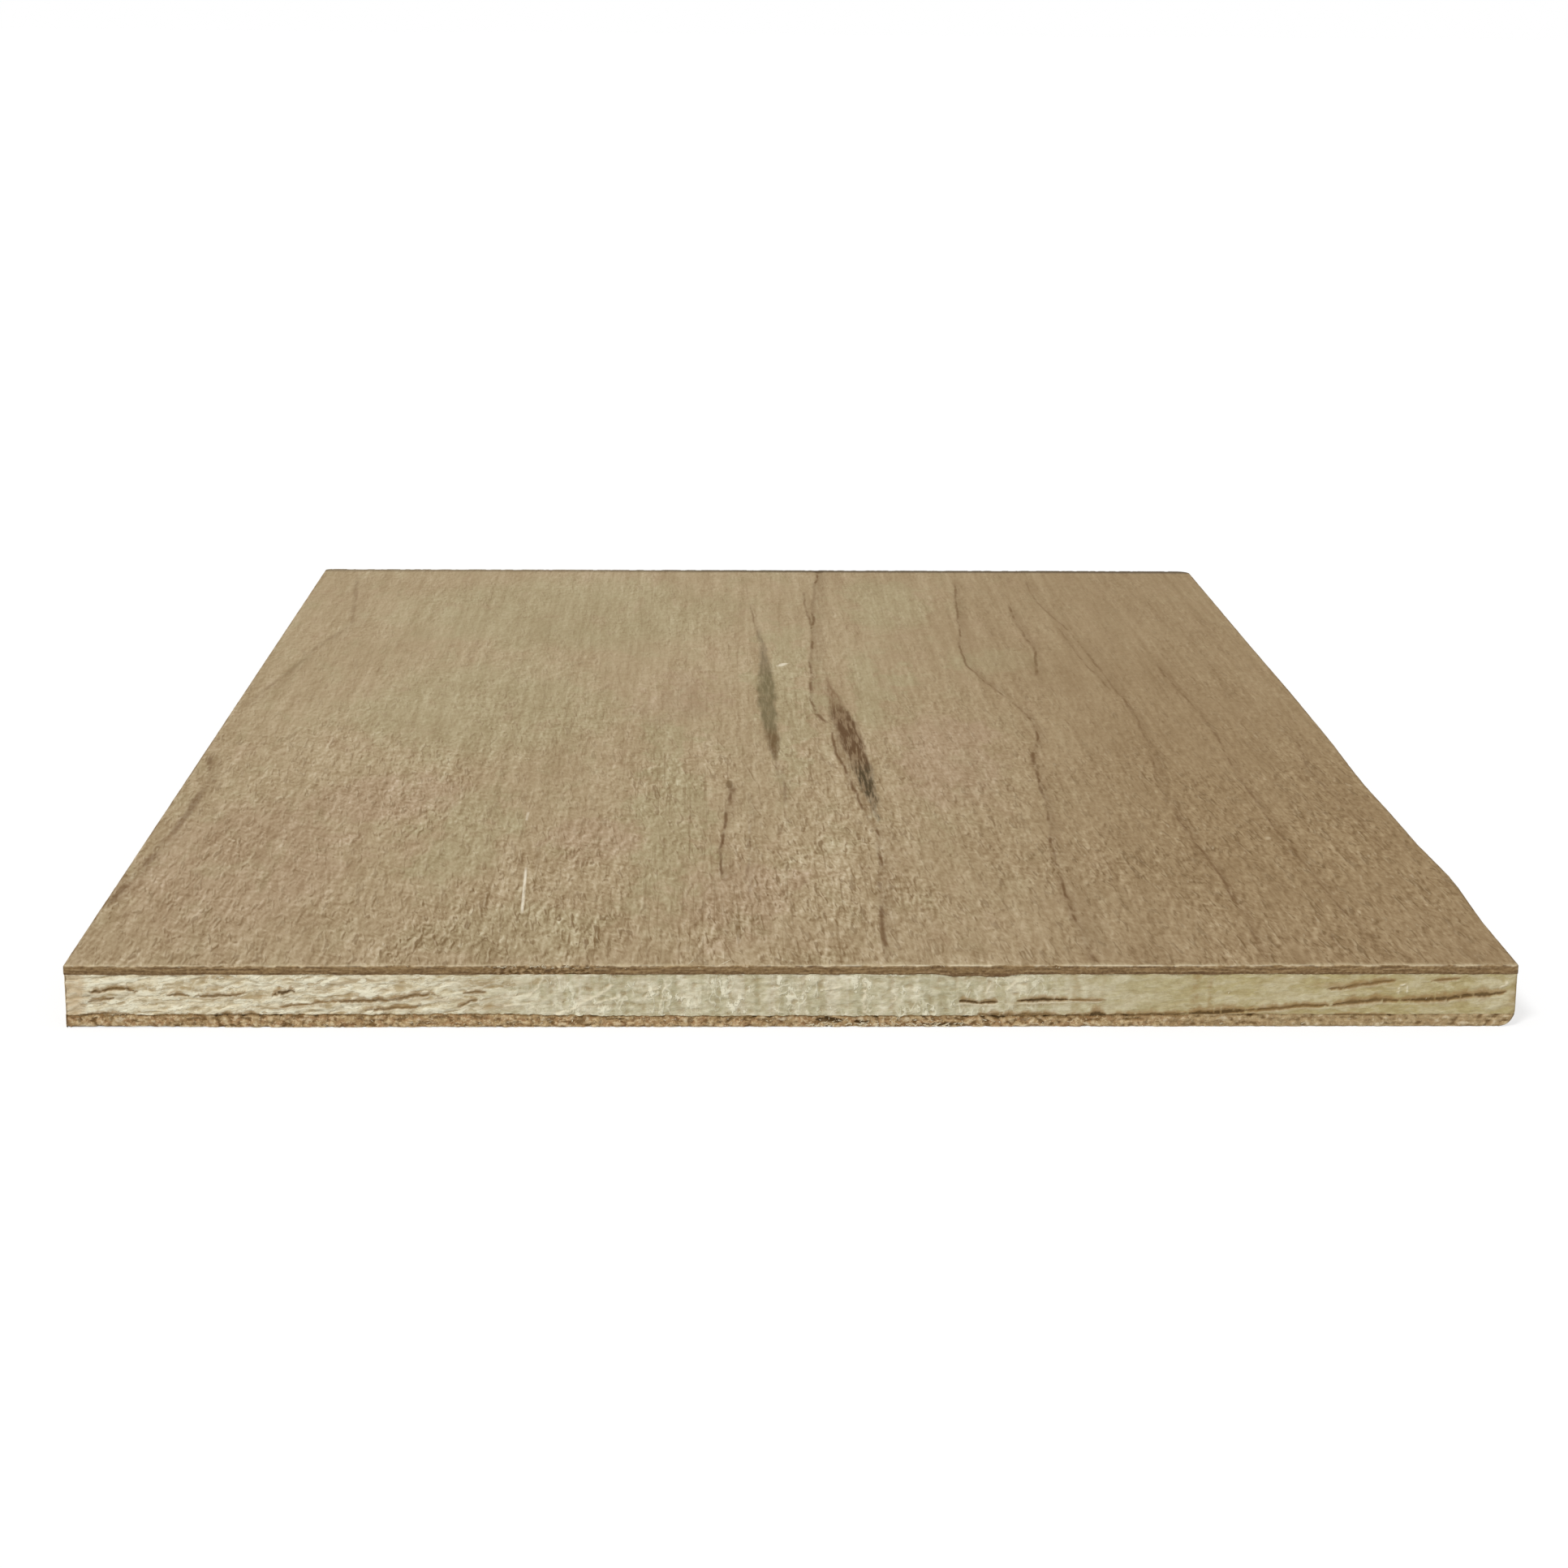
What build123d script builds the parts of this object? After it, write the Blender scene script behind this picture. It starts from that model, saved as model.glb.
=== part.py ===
"""A sawn sample panel of three-ply cherry veneer plywood, lying flat with its cherry face up.

X runs across the face grain, Y along it and Z up from the surface that the panel lies on.
The origin is the middle of the underside. All sizes are in millimetres.
"""

import os
from math import cos, pi

from build123d import *

os.makedirs("parts", exist_ok=True)

# The panel as cut: width across the face grain, length along it
panel_width = 101.6
panel_length = 152.4

# The plies, from the underside up
back_thickness = 0.9
core_thickness = 2.95
face_thickness = 0.65

# The far corners, knocked a little round in handling
far_left_radius = 0.8
far_right_radius = 1.5

# The right-hand bottom arris, rubbed round along its length
worn_arris_radius = 1.25

# The right-hand saw cut wandered. Each swell has its middle and its reach either way as shares
# of the length from the front edge, and how far it stands out, or in where that is below zero
saw_swells = [
    (0.14, 0.08, 0.40),
    (0.34, 0.10, -0.23),
    (0.57, 0.15, 0.11),
]
saw_stations = 50

# Drying splits that gape on the core's front edge. Each row has the start's distance in from
# the side edge and its height as a share of the core ply, the same for the end, and the gap
splits_from_left = [
    (1.9, 0.57, 5.5, 0.63, 0.16),
    (9.2, 0.44, 12.8, 0.57, 0.14),
    (14.8, 0.50, 16.1, 0.63, 0.16),
    (16.6, 0.25, 25.8, 0.50, 0.18),
]
splits_from_right = [
    (22.3, 0.06, 1.2, 0.58, 0.24),
    (13.8, 0.64, 9.3, 0.83, 0.16),
    (35.2, 0.30, 32.3, 0.37, 0.26),
    (39.2, 0.31, 37.1, 0.29, 0.18),
]
split_depth = 1.8
split_root_share = 0.3  # how much of a split's length and gap is left at its root

left = -panel_width / 2
right = panel_width / 2
front = -panel_length / 2
far = panel_length / 2
core_bottom = back_thickness
face_bottom = core_bottom + core_thickness
panel_thickness = face_bottom + face_thickness


def swell(share):
    """How far the right-hand cut stands out at a share of the panel's length from the front."""
    return sum(
        height * (1 + cos(pi * (share - middle) / reach)) / 2
        for middle, reach, height in saw_swells
        if abs(share - middle) < reach
    )


def split_mouth(plane, start, end, gap):
    """A long thin lens on a plane: two arcs that meet at the ends of a split."""
    start, end = Vector(start), Vector(end)
    middle = (start + end) / 2
    half_gap = (end - start).rotate(Axis.Z, 90).normalized() * gap / 2
    with BuildSketch(plane) as mouth:
        with BuildLine():
            ThreePointArc(start, middle + half_gap, end)
            ThreePointArc(end, middle - half_gap, start)
        make_face()
    return mouth.sketch


# Seen from above, with the right-hand cut curved as far as its swells go and straight beyond them
with BuildSketch() as sharp_outline:
    with BuildLine():
        widest_swell = max(height for _, _, height in saw_swells)
        last_swell_end = max(middle + reach for middle, reach, _ in saw_swells)
        shares = [last_swell_end * station / saw_stations for station in range(saw_stations + 1)]
        right_cut = Spline(
            [(right - widest_swell + swell(share), front + share * panel_length) for share in shares]
        )
        Polyline(right_cut @ 1, (right - widest_swell, far), (left, far), (left, front), right_cut @ 0)
    make_face()

with BuildSketch() as outline:
    add(sharp_outline.sketch)
    far_corners = outline.vertices().group_by(Axis.Y)[-1].sort_by(Axis.X)
    fillet(far_corners[0], far_left_radius)
    far_corners = outline.vertices().group_by(Axis.Y)[-1].sort_by(Axis.X)
    fillet(far_corners[-1], far_right_radius)

# The whole thickness in one, with the worn arris rounded, which trims each ply where it crosses it
with BuildPart() as envelope:
    add(sharp_outline.sketch)
    extrude(amount=panel_thickness)
    right_hand_stretches = envelope.edges().group_by(Axis.Z)[0].sort_by(Axis.X)[-2:]
    fillet(right_hand_stretches, worn_arris_radius)

# The back veneer, whose grain runs along the panel
with BuildPart() as back_veneer:
    add(outline.sketch)
    extrude(amount=back_thickness)
    add(envelope.part, mode=Mode.INTERSECT)

# The core ply, whose grain runs across the panel and has split open on the front edge
with BuildPart() as core_ply:
    with BuildSketch(Plane.XY.offset(core_bottom)):
        add(outline.sketch)
    extrude(amount=core_thickness)
    add(envelope.part, mode=Mode.INTERSECT)

    front_edge = Plane(origin=(0, front, 0), x_dir=(1, 0, 0), z_dir=(0, -1, 0))
    split_roots = front_edge.offset(-split_depth)
    split_rows = [(left + a, ha, left + b, hb, gap) for a, ha, b, hb, gap in splits_from_left]
    split_rows += [(right - a, ha, right - b, hb, gap) for a, ha, b, hb, gap in splits_from_right]
    for start_x, start_share, end_x, end_share, gap in split_rows:
        start = Vector(start_x, core_bottom + start_share * core_thickness)
        end = Vector(end_x, core_bottom + end_share * core_thickness)
        middle = (start + end) / 2
        root_start = middle + (start - middle) * split_root_share
        root_end = middle + (end - middle) * split_root_share
        mouth = split_mouth(front_edge, start, end, gap)
        root = split_mouth(split_roots, root_start, root_end, gap * split_root_share)
        loft([mouth, root], mode=Mode.SUBTRACT)

# The cherry face veneer, whose grain runs along the panel
with BuildPart() as face_veneer:
    with BuildSketch(Plane.XY.offset(face_bottom)):
        add(outline.sketch)
    extrude(amount=face_thickness)
    add(envelope.part, mode=Mode.INTERSECT)

back_veneer.part.label = "back_veneer"
core_ply.part.label = "core_ply"
face_veneer.part.label = "face_veneer"

for ply in (back_veneer.part, core_ply.part, face_veneer.part):
    export_step(ply, f"parts/{ply.label}.step")
    print(ply.label, "volume", round(ply.volume, 1), "mm3, size", ply.bounding_box().size)
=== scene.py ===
"""The looks of a sawn sample of cherry veneer plywood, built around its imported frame.

X runs across the face grain, Y along it and Z up. The code works in millimetres, and turns them
into metres where it makes a mesh, a lamp or the camera.
"""

from math import ceil, cos, pi, radians, sin

import bpy
import numpy as np
from mathutils import Matrix, Vector
from mathutils.geometry import delaunay_2d_cdt


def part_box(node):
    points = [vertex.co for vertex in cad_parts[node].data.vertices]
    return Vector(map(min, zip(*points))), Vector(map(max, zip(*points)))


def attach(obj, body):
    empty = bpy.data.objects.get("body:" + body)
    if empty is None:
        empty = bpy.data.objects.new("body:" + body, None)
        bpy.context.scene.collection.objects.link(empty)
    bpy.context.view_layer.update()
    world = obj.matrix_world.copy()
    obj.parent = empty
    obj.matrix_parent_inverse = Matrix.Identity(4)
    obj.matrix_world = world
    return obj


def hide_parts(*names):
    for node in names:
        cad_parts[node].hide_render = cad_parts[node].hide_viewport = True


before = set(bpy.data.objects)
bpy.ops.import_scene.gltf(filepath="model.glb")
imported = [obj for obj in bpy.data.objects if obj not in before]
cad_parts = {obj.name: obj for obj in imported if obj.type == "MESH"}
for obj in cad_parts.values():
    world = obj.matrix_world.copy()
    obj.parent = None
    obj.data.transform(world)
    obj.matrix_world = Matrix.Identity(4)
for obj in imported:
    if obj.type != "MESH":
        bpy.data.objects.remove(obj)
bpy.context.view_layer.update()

METRE = 1000.0
FRONT, RIGHT, FAR, LEFT = range(4)


def box_of(node):
    """A node's lowest and highest corners in millimetres."""
    return [np.array(corner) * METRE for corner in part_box(node)]


back_bottom = box_of("back_veneer")[0][2]
core_bottom = box_of("core_ply")[0][2]
face_bottom = box_of("face_veneer")[0][2]
(left, front, _), (right, far, face_top) = box_of("face_veneer")

# The worn right-hand bottom arris, and how far in from it the front and far edges are drawn along
worn_radius = 1.25
worn_reach = 3.0

# Wear on the upright arrises
corner_wear = 0.3

# How far behind the front edge loose fibres and splinters start, and how far the fibres at the top
# arris may stand above the face
root_depth = 0.12
splinter_depth = 0.14
fibre_reach = 0.11

# The points that fill a cap. Each ring takes every so many stations and lies so far in from the
# edge. The grid inside has a margin, and a jitter as a share of its spacing
cap_rings = ((2, 0.2), (4, 0.55), (8, 1.2))
grid_margin = 2.0
grid_jitter = 0.3
wall_clearance = 0.12


# Noise, all of it repeatable


def cell_number(i, j, seed):
    """A number from 0 to 1 that belongs to one whole-number cell."""
    mixed = (i * 374761393 + j * 668265263 + seed * 2246822519) & 0xFFFFFFFF
    mixed = ((mixed ^ (mixed >> 13)) * 1274126177) & 0xFFFFFFFF
    return ((mixed ^ (mixed >> 16)) & 0xFFFFFFFF) / 0xFFFFFFFF


def noise(u, v, seed):
    """Gradient noise over a plane of unit cells, from about -1 to 1."""
    u, v = np.broadcast_arrays(u, v)
    i, j = np.floor(u).astype(np.int64), np.floor(v).astype(np.int64)
    fu, fv = u - i, v - j
    su, sv = fu * fu * (3 - 2 * fu), fv * fv * (3 - 2 * fv)

    def corner(di, dj):
        angle = 2 * pi * cell_number(i + di, j + dj, seed)
        return np.cos(angle) * (fu - di) + np.sin(angle) * (fv - dj)

    near = corner(0, 0) * (1 - su) + corner(1, 0) * su
    away = corner(0, 1) * (1 - su) + corner(1, 1) * su
    return 1.5 * (near * (1 - sv) + away * sv)


def layered(u, v, seed, layers=3):
    """Noise with finer noise on it, each layer half as strong as the one before."""
    u, v = np.broadcast_arrays(u, v)
    return sum(noise(u * 2**k, v * 2**k, seed + k) / 2**k for k in range(layers))


def rise(value, low, high):
    """0 below low, 1 above high and a smooth climb between."""
    share = np.clip((value - low) / (high - low), 0, 1)
    return share * share * (3 - 2 * share)


# The outline, read from the frame


def top_outline(node):
    """The edge of a node's flat top, counter-clockwise from its front left corner."""
    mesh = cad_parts[node].data
    points = np.array([vertex.co for vertex in mesh.vertices]) * METRE
    top = points[:, 2].max() - 0.001
    corners = [tuple(point) for point in np.round(points[:, :2], 3)]
    edges = set()
    for polygon in mesh.polygons:
        ring = list(polygon.vertices)
        if points[ring, 2].min() > top:
            edges.update((corners[a], corners[b]) for a, b in zip(ring, ring[1:] + ring[:1]))
    following = {a: b for a, b in edges if (b, a) not in edges}
    loop = [min(following, key=sum)]
    while following[loop[-1]] != loop[0]:
        loop.append(following[loop[-1]])
    return np.array(loop)


outline = top_outline("face_veneer")
right_hand = outline[outline[:, 0] > 0]
right_hand = right_hand[np.argsort(right_hand[:, 1])]


def right_cut(y):
    """Where the right-hand saw cut runs at each y."""
    return np.interp(y, right_hand[:, 1], right_hand[:, 0])


class Edge:
    """Stations round the outline, each with its outward normal and the side that it is on."""

    def __init__(self, front_step, other_step):
        points = []
        for start, end in zip(outline, np.roll(outline, -1, 0)):
            on_front = max(start[1], end[1]) < front + 0.01
            count = ceil(np.hypot(*(end - start)) / (front_step if on_front else other_step))
            points.extend(start + (end - start) * k / count for k in range(count))
        self.points = np.array(points)
        self.x, self.y = self.points.T
        forward = np.roll(self.points, -1, 0) - np.roll(self.points, 1, 0)
        normals = np.column_stack((forward[:, 1], -forward[:, 0]))
        self.normals = normals / np.linalg.norm(normals, axis=1, keepdims=True)
        across = np.abs(self.normals[:, 0]) > np.abs(self.normals[:, 1]) + 0.01
        ahead = np.where(self.normals[:, 1] < 0, FRONT, FAR)
        self.side = np.where(across, np.where(self.normals[:, 0] > 0, RIGHT, LEFT), ahead)
        self.on_front = self.side == FRONT
        self.is_long_side = across
        # The noise runs on unbroken along a side, and each side has its own stretch of it
        self.along = np.where(across, self.y, self.x) + 400.0 * self.side
        to_corner = np.minimum(self.x - left, right_cut(self.y) - self.x)
        to_corner = np.where(across, self.y - front, to_corner)
        self.to_corner = np.where(self.side == FAR, corner_wear, np.maximum(to_corner, 0))

    def corner_depth(self):
        """How far the worn front corners draw in each station."""
        open_share = np.clip(1 - self.to_corner / corner_wear, 0, 1)
        mitre = 1 / np.maximum(np.abs(self.normals).max(axis=1), 0.7)
        return (1 - cos(pi / 4)) * corner_wear * open_share**2 * mitre


# Meshes


def worn_inset(z):
    """How far the worn arris cuts in from the right at each height."""
    missing = np.clip(worn_radius - z, 0, worn_radius)
    return worn_radius - np.sqrt(worn_radius**2 - missing**2)


def smoothed(values, rows, columns):
    """An average over this many rows and columns each way. The columns run in a ring."""
    padded = np.pad(values, ((rows, rows), (0, 0)), mode="edge")
    columned = sum(padded[k : k + len(values)] for k in range(2 * rows + 1)) / (2 * rows + 1)
    return sum(np.roll(columned, k, axis=1) for k in range(-columns, columns + 1)) / (2 * columns + 1)


def proudness(depth, scale):
    """From -1 in a hollow to 1 on a ridge, against the places round it."""
    return np.clip((smoothed(depth, 3, 5) - depth) / scale, -1, 1)


def cap_points(edge, ring, spacing, drawn_in):
    """Points to fill a cap: rings that thin out inwards from its edge, then a loose grid."""
    filled = [ring[::step, :2] - edge.normals[::step] * inset for step, inset in cap_rings]
    ringed = sum(len(points) for points in filled)
    for y in np.arange(front + grid_margin, far - grid_margin, spacing):
        x = np.arange(left + grid_margin, right_cut(y) - drawn_in - grid_margin, spacing)
        filled.append(np.column_stack((x, np.full_like(x, y))))
    filled = np.concatenate(filled)
    x, y = filled.T
    inside = (x > left + wall_clearance) & (x < right_cut(y) - drawn_in - wall_clearance)
    inside &= (y > front + wall_clearance) & (y < far - wall_clearance)
    jitter = grid_jitter * spacing * (np.random.default_rng(5).random(filled.shape) - 0.5)
    jitter[:ringed] = 0
    return (filled + jitter)[inside]


def cap(edge, ring, first, made, spacing, waves):
    """The new points and the triangles of a cap whose border is a ring of the wall's points."""
    count = len(ring)
    level = ring[:, 2].mean()
    inner = cap_points(edge, ring, spacing, worn_inset(level))
    flat = [Vector(point) for point in np.concatenate((ring[:, :2], inner))]
    border = [(k, (k + 1) % count) for k in range(count)]
    found, _, triangles, origins, _, _ = delaunay_2d_cdt(flat, border, [], 1, 0.0001)
    places, extra = [], []
    for point, origin in zip(found, origins):
        if origin and origin[0] < count:
            places.append(first + origin[0])
        else:
            places.append(made + len(extra))
            extra.append((point[0], point[1], level))
    extra = np.array(extra)
    if waves is not None:
        extra[:, 2] = waves(extra[:, 0], extra[:, 1])
    return extra, [[places[number] for number in triangle] for triangle in triangles]


def ply_mesh(name, edge, heights, depth, top_waves, spacings, layers, hairs):
    """A closed ply: walls with relief between a top and an underside that are filled in."""
    inward = depth + edge.corner_depth()
    share = np.clip((edge.x - right_cut(edge.y) + worn_reach) / worn_reach, 0, 1)
    x = edge.x - edge.normals[:, 0] * inward - worn_inset(heights) * share
    y = edge.y - edge.normals[:, 1] * inward
    wall = np.column_stack((x.ravel(), y.ravel(), heights.ravel()))
    points, faces, made = [wall], [], len(wall)
    count = len(edge.x)
    for base in range(0, made - count, count):
        for k in range(count):
            after = (k + 1) % count
            faces.append((base + k, base + after, base + count + after, base + count + k))
    for first, spacing, waves in ((0, spacings[0], None), (made - count, spacings[1], top_waves)):
        extra, triangles = cap(edge, wall[first : first + count], first, made, spacing, waves)
        points.append(extra)
        made += len(extra)
        faces.extend(corners if first else corners[::-1] for corners in triangles)
    first_hair = made
    for hair_points, hair_faces in hairs:
        points.append(hair_points)
        faces.extend([made + corner for corner in face] for face in hair_faces)
        made += len(hair_points)
    mesh = bpy.data.meshes.new(name)
    mesh.from_pydata(np.concatenate(points) / METRE, [], faces)
    for key, values in layers.items():
        padded = np.zeros(made, np.float32)
        padded[: len(wall)] = values.ravel()
        if key == "pale_fibre_and_highlight":
            padded[first_hair:] = 1
        mesh.attributes.new(key, "FLOAT", "POINT").data.foreach_set("value", padded)
    mesh.validate()
    mesh.shade_smooth()
    mesh.set_sharp_from_angle(angle=radians(60))
    return mesh


def hair(root, direction, bend, length, thickness):
    """A loose fibre: a bent three-sided spike that starts below the surface."""
    root, direction, bend = np.array(root, float), np.array(direction, float), np.array(bend, float)
    direction = direction / np.linalg.norm(direction)
    aside = np.cross(direction, (0.3, 0.5, 0.8))
    aside = aside / np.linalg.norm(aside)
    up = np.cross(direction, aside)
    points = []
    for share in (0, 0.35, 0.7):
        middle = root + length * (direction * share + bend * share**2)
        reach = thickness / 2 * (1 - share) ** 0.6
        for turn in (0, 2 * pi / 3, 4 * pi / 3):
            points.append(middle + reach * (cos(turn) * aside + sin(turn) * up))
    points.append(root + length * (direction + bend))
    faces = [(2, 1, 0)]
    for ring in (0, 3):
        for k in range(3):
            after = (k + 1) % 3
            faces.append((ring + k, ring + after, ring + 3 + after, ring + 3 + k))
    faces.extend((6 + k, 6 + (k + 1) % 3, 9) for k in range(3))
    return np.array(points), faces


def piece(name, mesh, material, slot):
    """A ply in the scene that rides on the board and stands in for the node of its slot's name."""
    obj = bpy.data.objects.new(name, mesh)
    bpy.context.scene.collection.objects.link(obj)
    mesh.materials.append(material)
    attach(obj, "root")
    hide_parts(slot)


# The glue lines, shared by the plies that meet there


def back_glue_line(edge):
    """The ragged line where the core meets the back veneer."""
    ragged = 0.06 * layered(edge.along / 0.9, 0.5, 31) + 0.04 * layered(edge.along / 0.22, 0.5, 34, 2)
    at_left = 1 - rise(edge.x, -22, -10)
    drift = 0.09 * at_left - 0.05 * (1 - at_left) + 0.09 * rise(edge.x, 14, 24)
    return core_bottom + ragged * (1 - 0.6 * rise(edge.x, 18, 30)) + drift * edge.on_front


def face_glue_line(edge):
    """The straighter line where the core meets the cherry veneer, with one thicker stretch."""
    thick = rise(edge.x, 9.5, 11) * (1 - rise(edge.x, 14, 15.5)) * edge.on_front
    uneven = 0.035 * layered(edge.along / 1.4, 0.5, 41) + 0.02 * noise(edge.along / 0.25, 0.5, 44)
    return face_bottom + 0.02 + uneven - 0.16 * thick


def ply_heights(edge, low, high, rows):
    """Rows of stations between two lines that may each wander."""
    shares = np.linspace(0, 1, rows)[:, None]
    return low * (1 - shares) + high * shares + np.zeros(len(edge.x))


# How much the core's grain climbs to the right along the front edge
grain_climb = 0.085

# Cracks and splits on the front edge: half width, how deep and dark, and the route as x and height
front_cracks = [
    (0.06, 0.7, [(-49.2, 2.62), (-48.2, 2.67), (-47.7, 2.79), (-47.0, 2.82), (-45.6, 2.70)]),
    (0.05, 0.2, [(-49.2, 1.93), (-48.4, 2.05), (-47.3, 2.17)]),
    (0.05, 0.3, [(-43.8, 2.33), (-42.7, 2.39), (-42.1, 2.33)]),
    (0.05, 0.4, [(-41.9, 2.30), (-39.3, 2.36), (-38.7, 2.42), (-38.1, 2.56)]),
    (0.08, 0.8, [(-36.5, 2.28), (-35.7, 2.57), (-35.3, 2.72), (-34.8, 2.66)]),
    (0.04, 0.1, [(-36.2, 1.45), (-34.5, 1.70), (-32.5, 1.94)]),
    (0.06, 0.5, [(-32.6, 1.93), (-30.2, 1.93), (-29.1, 1.96), (-27.6, 2.10), (-26.6, 2.33), (-24.7, 2.42)]),
    (0.05, 0.3, [(-30.2, 1.20), (-28.6, 1.36), (-26.0, 1.55)]),
    (0.05, 0.3, [(-23.3, 2.48), (-22.5, 2.57), (-21.6, 2.62)]),
    (0.06, 0.3, [(-23.7, 1.38), (-22.9, 1.86), (-22.2, 2.02)]),
    (0.06, 1.0, [(11.2, 1.92), (12.0, 1.87), (12.7, 1.75)]),
    (0.06, 1.0, [(12.6, 1.74), (13.2, 1.80), (14.0, 1.83)]),
    (0.07, 1.6, [(15.2, 1.90), (16.5, 1.96), (17.6, 1.98), (19.0, 2.00)]),
    (0.04, 0.2, [(18.8, 1.97), (20.0, 1.94), (21.6, 1.93)]),
    (0.10, 0.9, [(27.2, 0.96), (28.9, 1.00), (29.8, 1.08), (30.6, 1.16), (31.4, 1.15)]),
    (0.07, 0.6, [(31.0, 1.16), (33.9, 1.36), (35.2, 1.53), (36.2, 1.53), (37.4, 1.55)]),
    (0.09, 0.7, [(37.2, 1.54), (38.5, 1.76), (40.7, 1.96), (42.3, 1.89)]),
    (0.10, 0.8, [(42.0, 1.90), (43.8, 1.97), (45.5, 2.05), (46.9, 2.29), (48.8, 2.36), (49.8, 2.60)]),
    (0.07, 0.5, [(36.9, 2.77), (38.0, 2.82), (39.9, 3.14), (41.9, 3.42)]),
    (0.04, 0.2, [(44.2, 3.34), (45.5, 3.47), (46.4, 3.50)]),
]

glue_line_gaps = [
    (0.04, 0.3, [(-49.8, 0.95), (-48.0, 1.05), (-46.2, 0.98)]),
    (0.06, 0.5, [(-40.6, 0.93), (-39.3, 0.97), (-38.4, 0.92), (-37.2, 0.97)]),
    (0.04, 0.3, [(18.6, 0.86), (20.4, 0.88), (21.6, 0.89)]),
    (0.12, 1.0, [(20.4, 0.90), (21.0, 0.94), (21.6, 0.90)]),
    (0.07, 0.5, [(12.4, 0.90), (14.5, 0.86), (16.5, 0.88), (18.6, 0.86)]),
    (0.07, 0.5, [(21.7, 0.86), (23.1, 0.83), (24.5, 0.88), (25.8, 0.95), (27.4, 0.98)]),
    (0.05, 0.5, [(30.6, 0.90), (31.4, 0.88), (32.3, 0.90)]),
    (0.04, 0.3, [(37.4, 0.86), (38.7, 0.88), (39.6, 0.84), (41.8, 0.86)]),
]

back_gaps = [
    (0.11, 1.0, [(1.2, 0.50), (2.1, 0.55), (3.2, 0.46)]),
    (0.09, 1.0, [(3.9, 0.38), (4.4, 0.36), (5.0, 0.40)]),
    (0.07, 1.0, [(8.6, 0.24), (10.0, 0.20), (11.6, 0.22)]),
    (0.06, 0.7, [(-13.4, 0.52), (-12.6, 0.60), (-11.8, 0.48)]),
    (0.06, 0.7, [(-42.5, 0.60), (-41.6, 0.66), (-40.9, 0.55)]),
    (0.05, 0.3, [(22.6, 0.50), (23.4, 0.60), (24.2, 0.55)]),
    (0.05, 0.3, [(20.0, 0.42), (20.8, 0.55), (21.4, 0.62)]),
]

# Wisps of pale fibre torn up from the core: half width, and the route as x and height
pale_wisps = [
    (0.09, [(-18.8, 2.20), (-18.1, 2.90), (-17.6, 3.70)]),
    (0.07, [(-20.4, 1.55), (-18.6, 1.75), (-18.0, 1.20)]),
    (0.13, [(-16.8, 0.95), (-15.9, 1.20), (-14.9, 1.85), (-13.9, 2.30), (-12.9, 3.05)]),
    (0.09, [(-14.2, 1.60), (-13.2, 2.00), (-12.4, 2.20)]),
    (0.08, [(-9.5, 1.10), (-9.4, 2.60), (-9.1, 3.50)]),
    (0.08, [(-10.6, 2.10), (-10.2, 2.70), (-9.7, 2.85)]),
    (0.08, [(1.6, 2.70), (2.6, 2.90), (3.1, 3.10)]),
    (0.12, [(4.6, 1.15), (4.7, 2.40), (4.6, 3.55)]),
    (0.07, [(6.6, 1.90), (6.9, 2.30), (6.7, 2.60)]),
    (0.08, [(13.1, 2.40), (13.25, 2.75), (13.3, 3.05)]),
    (0.09, [(14.6, 2.80), (15.2, 3.20), (16.0, 3.55)]),
    (0.07, [(42.0, 2.45), (42.1, 3.00), (42.5, 3.12), (42.6, 2.60)]),
    (0.07, [(49.1, 2.90), (49.5, 3.00), (49.6, 3.30)]),
]

# Brown smudges on the core's front edge: x, height, half width, half height, strength
smudges = [
    (38.6, 3.05, 2.4, 0.20, 0.80),
    (31.5, 1.00, 2.6, 0.10, 0.70),
    (50.4, 2.20, 0.5, 1.40, 0.60),
    (-25.5, 2.05, 4.0, 0.16, 0.60),
    (-21.0, 1.50, 1.6, 0.25, 0.55),
    (-22.5, 3.20, 1.2, 0.40, 0.35),
    (-35.5, 2.45, 0.9, 0.18, 0.50),
    (-47.5, 2.40, 1.8, 0.20, 0.45),
    (17.0, 1.70, 2.0, 0.14, 0.60),
    (12.6, 1.60, 1.2, 0.12, 0.40),
    (11.5, 3.55, 1.6, 0.14, 0.45),
    (24.0, 1.10, 4.0, 0.10, 0.50),
]


def line_share(u, v, half_width, route):
    """1 on a crack and 0 off it. It wanders, most on the left, varies in width and is bridged in places."""
    route = np.array(route)
    jagged = np.where(u < 0, 1.0, 0.4)
    wander = jagged * (0.9 * noise(u / 0.6, route[0, 1], 71) + 0.45 * noise(u / 0.2, route[0, 1], 72))
    middle = np.interp(u, route[:, 0], route[:, 1]) + wander * half_width
    tip_length = 0.2 * (route[-1, 0] - route[0, 0])
    tip = np.clip(np.minimum(u - route[0, 0], route[-1, 0] - u) / tip_length, 0, 1)
    width = half_width * (0.25 + 0.75 * tip) * (1 + 0.6 * noise(u / 0.7, route[0, 0], 73))
    ragged = half_width * 0.3 * noise(u / 0.2, v / 0.1, 74)
    bridged = 1 - 0.7 * rise(noise(u / 0.25, v / 0.5, 75), 0.45, 0.8)
    off = (np.abs(v - middle) + ragged) / width
    return (1 - rise(off, 0.4, 1.4)) * rise(tip, 0, 0.25) * bridged


def wisp_share(u, v, half_width, route):
    """The same for a route that may climb steeply: by the distance to its nearest stretch."""
    nearest = np.full(np.broadcast(u, v).shape, 9.0)
    for (u0, v0), (u1, v1) in zip(route, route[1:]):
        run, climb = u1 - u0, v1 - v0
        share = np.clip(((u - u0) * run + (v - v0) * climb) / (run**2 + climb**2), 0, 1)
        nearest = np.minimum(nearest, np.hypot(u - u0 - share * run, v - v0 - share * climb))
    return np.exp(-((nearest / half_width) ** 2))


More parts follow.
